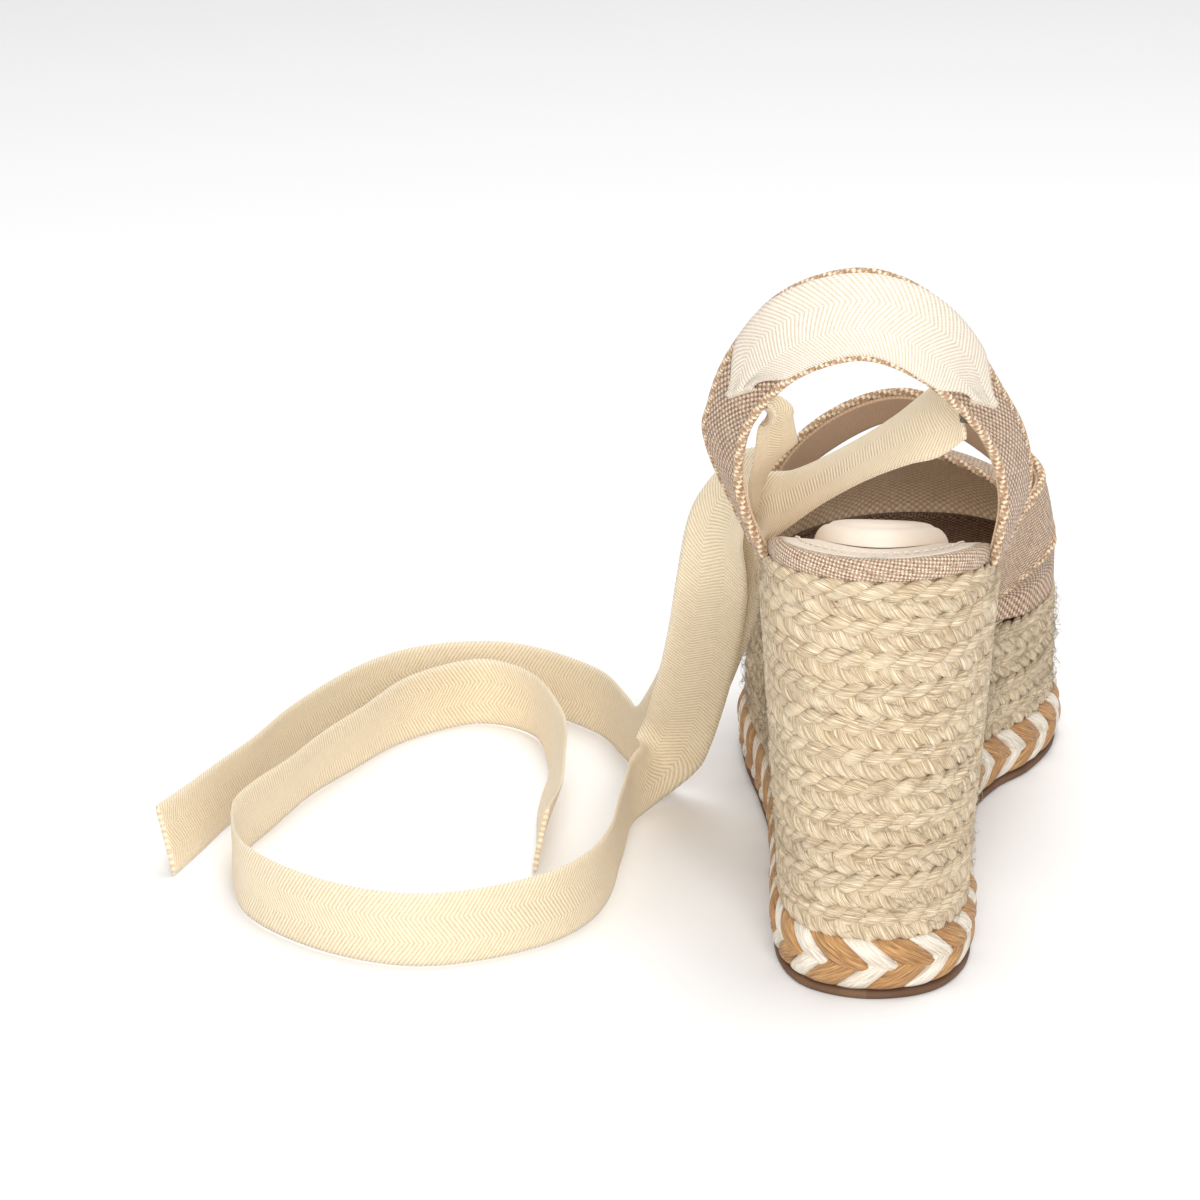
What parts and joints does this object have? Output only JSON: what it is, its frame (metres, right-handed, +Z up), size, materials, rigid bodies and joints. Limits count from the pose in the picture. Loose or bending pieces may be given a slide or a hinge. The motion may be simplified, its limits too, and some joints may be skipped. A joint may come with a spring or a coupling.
{
  "type": "wedge sandal",
  "caption": "Left-foot ankle-tie espadrille on a high jute wedge: linen toe vamp, instep strap and folding heel strap with a long cotton tape laced through it.",
  "frame": {"origin": "on the ground under the middle of the sole's length and width", "axes": "+Y from heel to toe, +X to the inner (medial) side of the foot, +Z up"},
  "size_m": [0.2333, 0.2537, 0.1842],
  "materials": {
    "rubber": "matt crepe rubber",
    "trim": "two-tone plaited jute trim",
    "core": "pressed cork and fibre, not seen",
    "jute": "plaited natural jute",
    "board": "fibre board, not seen",
    "foam": "latex foam, not seen",
    "linen": "two-tone linen weave",
    "lining": "plain beige lining",
    "leather": "soft cream leather",
    "binding": "rolled linen bias binding",
    "facing": "dark grosgrain facing",
    "tape": "herringbone cotton tape"
  },
  "bodies": {
    "sole": {"rubber_outsole": "rubber", "trim_braid": "trim", "wedge_core": "core", "jute_row_01": "jute", "jute_row_02": "jute", "jute_row_03": "jute", "jute_row_04": "jute", "jute_row_05": "jute", "jute_row_06": "jute", "jute_row_07": "jute", "jute_row_08": "jute", "jute_row_09": "jute", "jute_row_10": "jute", "jute_row_11": "jute", "insole_board": "board", "insole_foam": "foam", "insole_rim_wrap": "linen", "insole_cover": "linen", "heel_sock": "leather", "heel_pad": "leather", "toe_vamp": "linen", "instep_strap": "linen", "instep_strap_lining": "lining", "vamp_throat_binding": "binding", "heel_strap_end_lateral": "linen", "heel_strap_end_medial": "linen", "tape_tail_lateral": "tape", "tape_tail_medial": "tape"},
    "heel_strap": {"heel_strap_outer": "linen", "heel_strap_lining": "lining", "heel_strap_top_binding": "binding", "heel_strap_lower_binding": "binding", "slot_facing_lateral": "facing", "slot_facing_medial": "facing", "tape_back_span": "tape"}
  },
  "joints": [
    {"name": "heel_strap_fold", "type": "hinge", "parent": "sole", "child": "heel_strap", "pos_m": [0, -0.086, 0.1275], "axis": [-1, 0, 0], "range_deg": [-10, 38], "deforming": ["tape_tail_lateral", "tape_tail_medial"]}
  ]
}
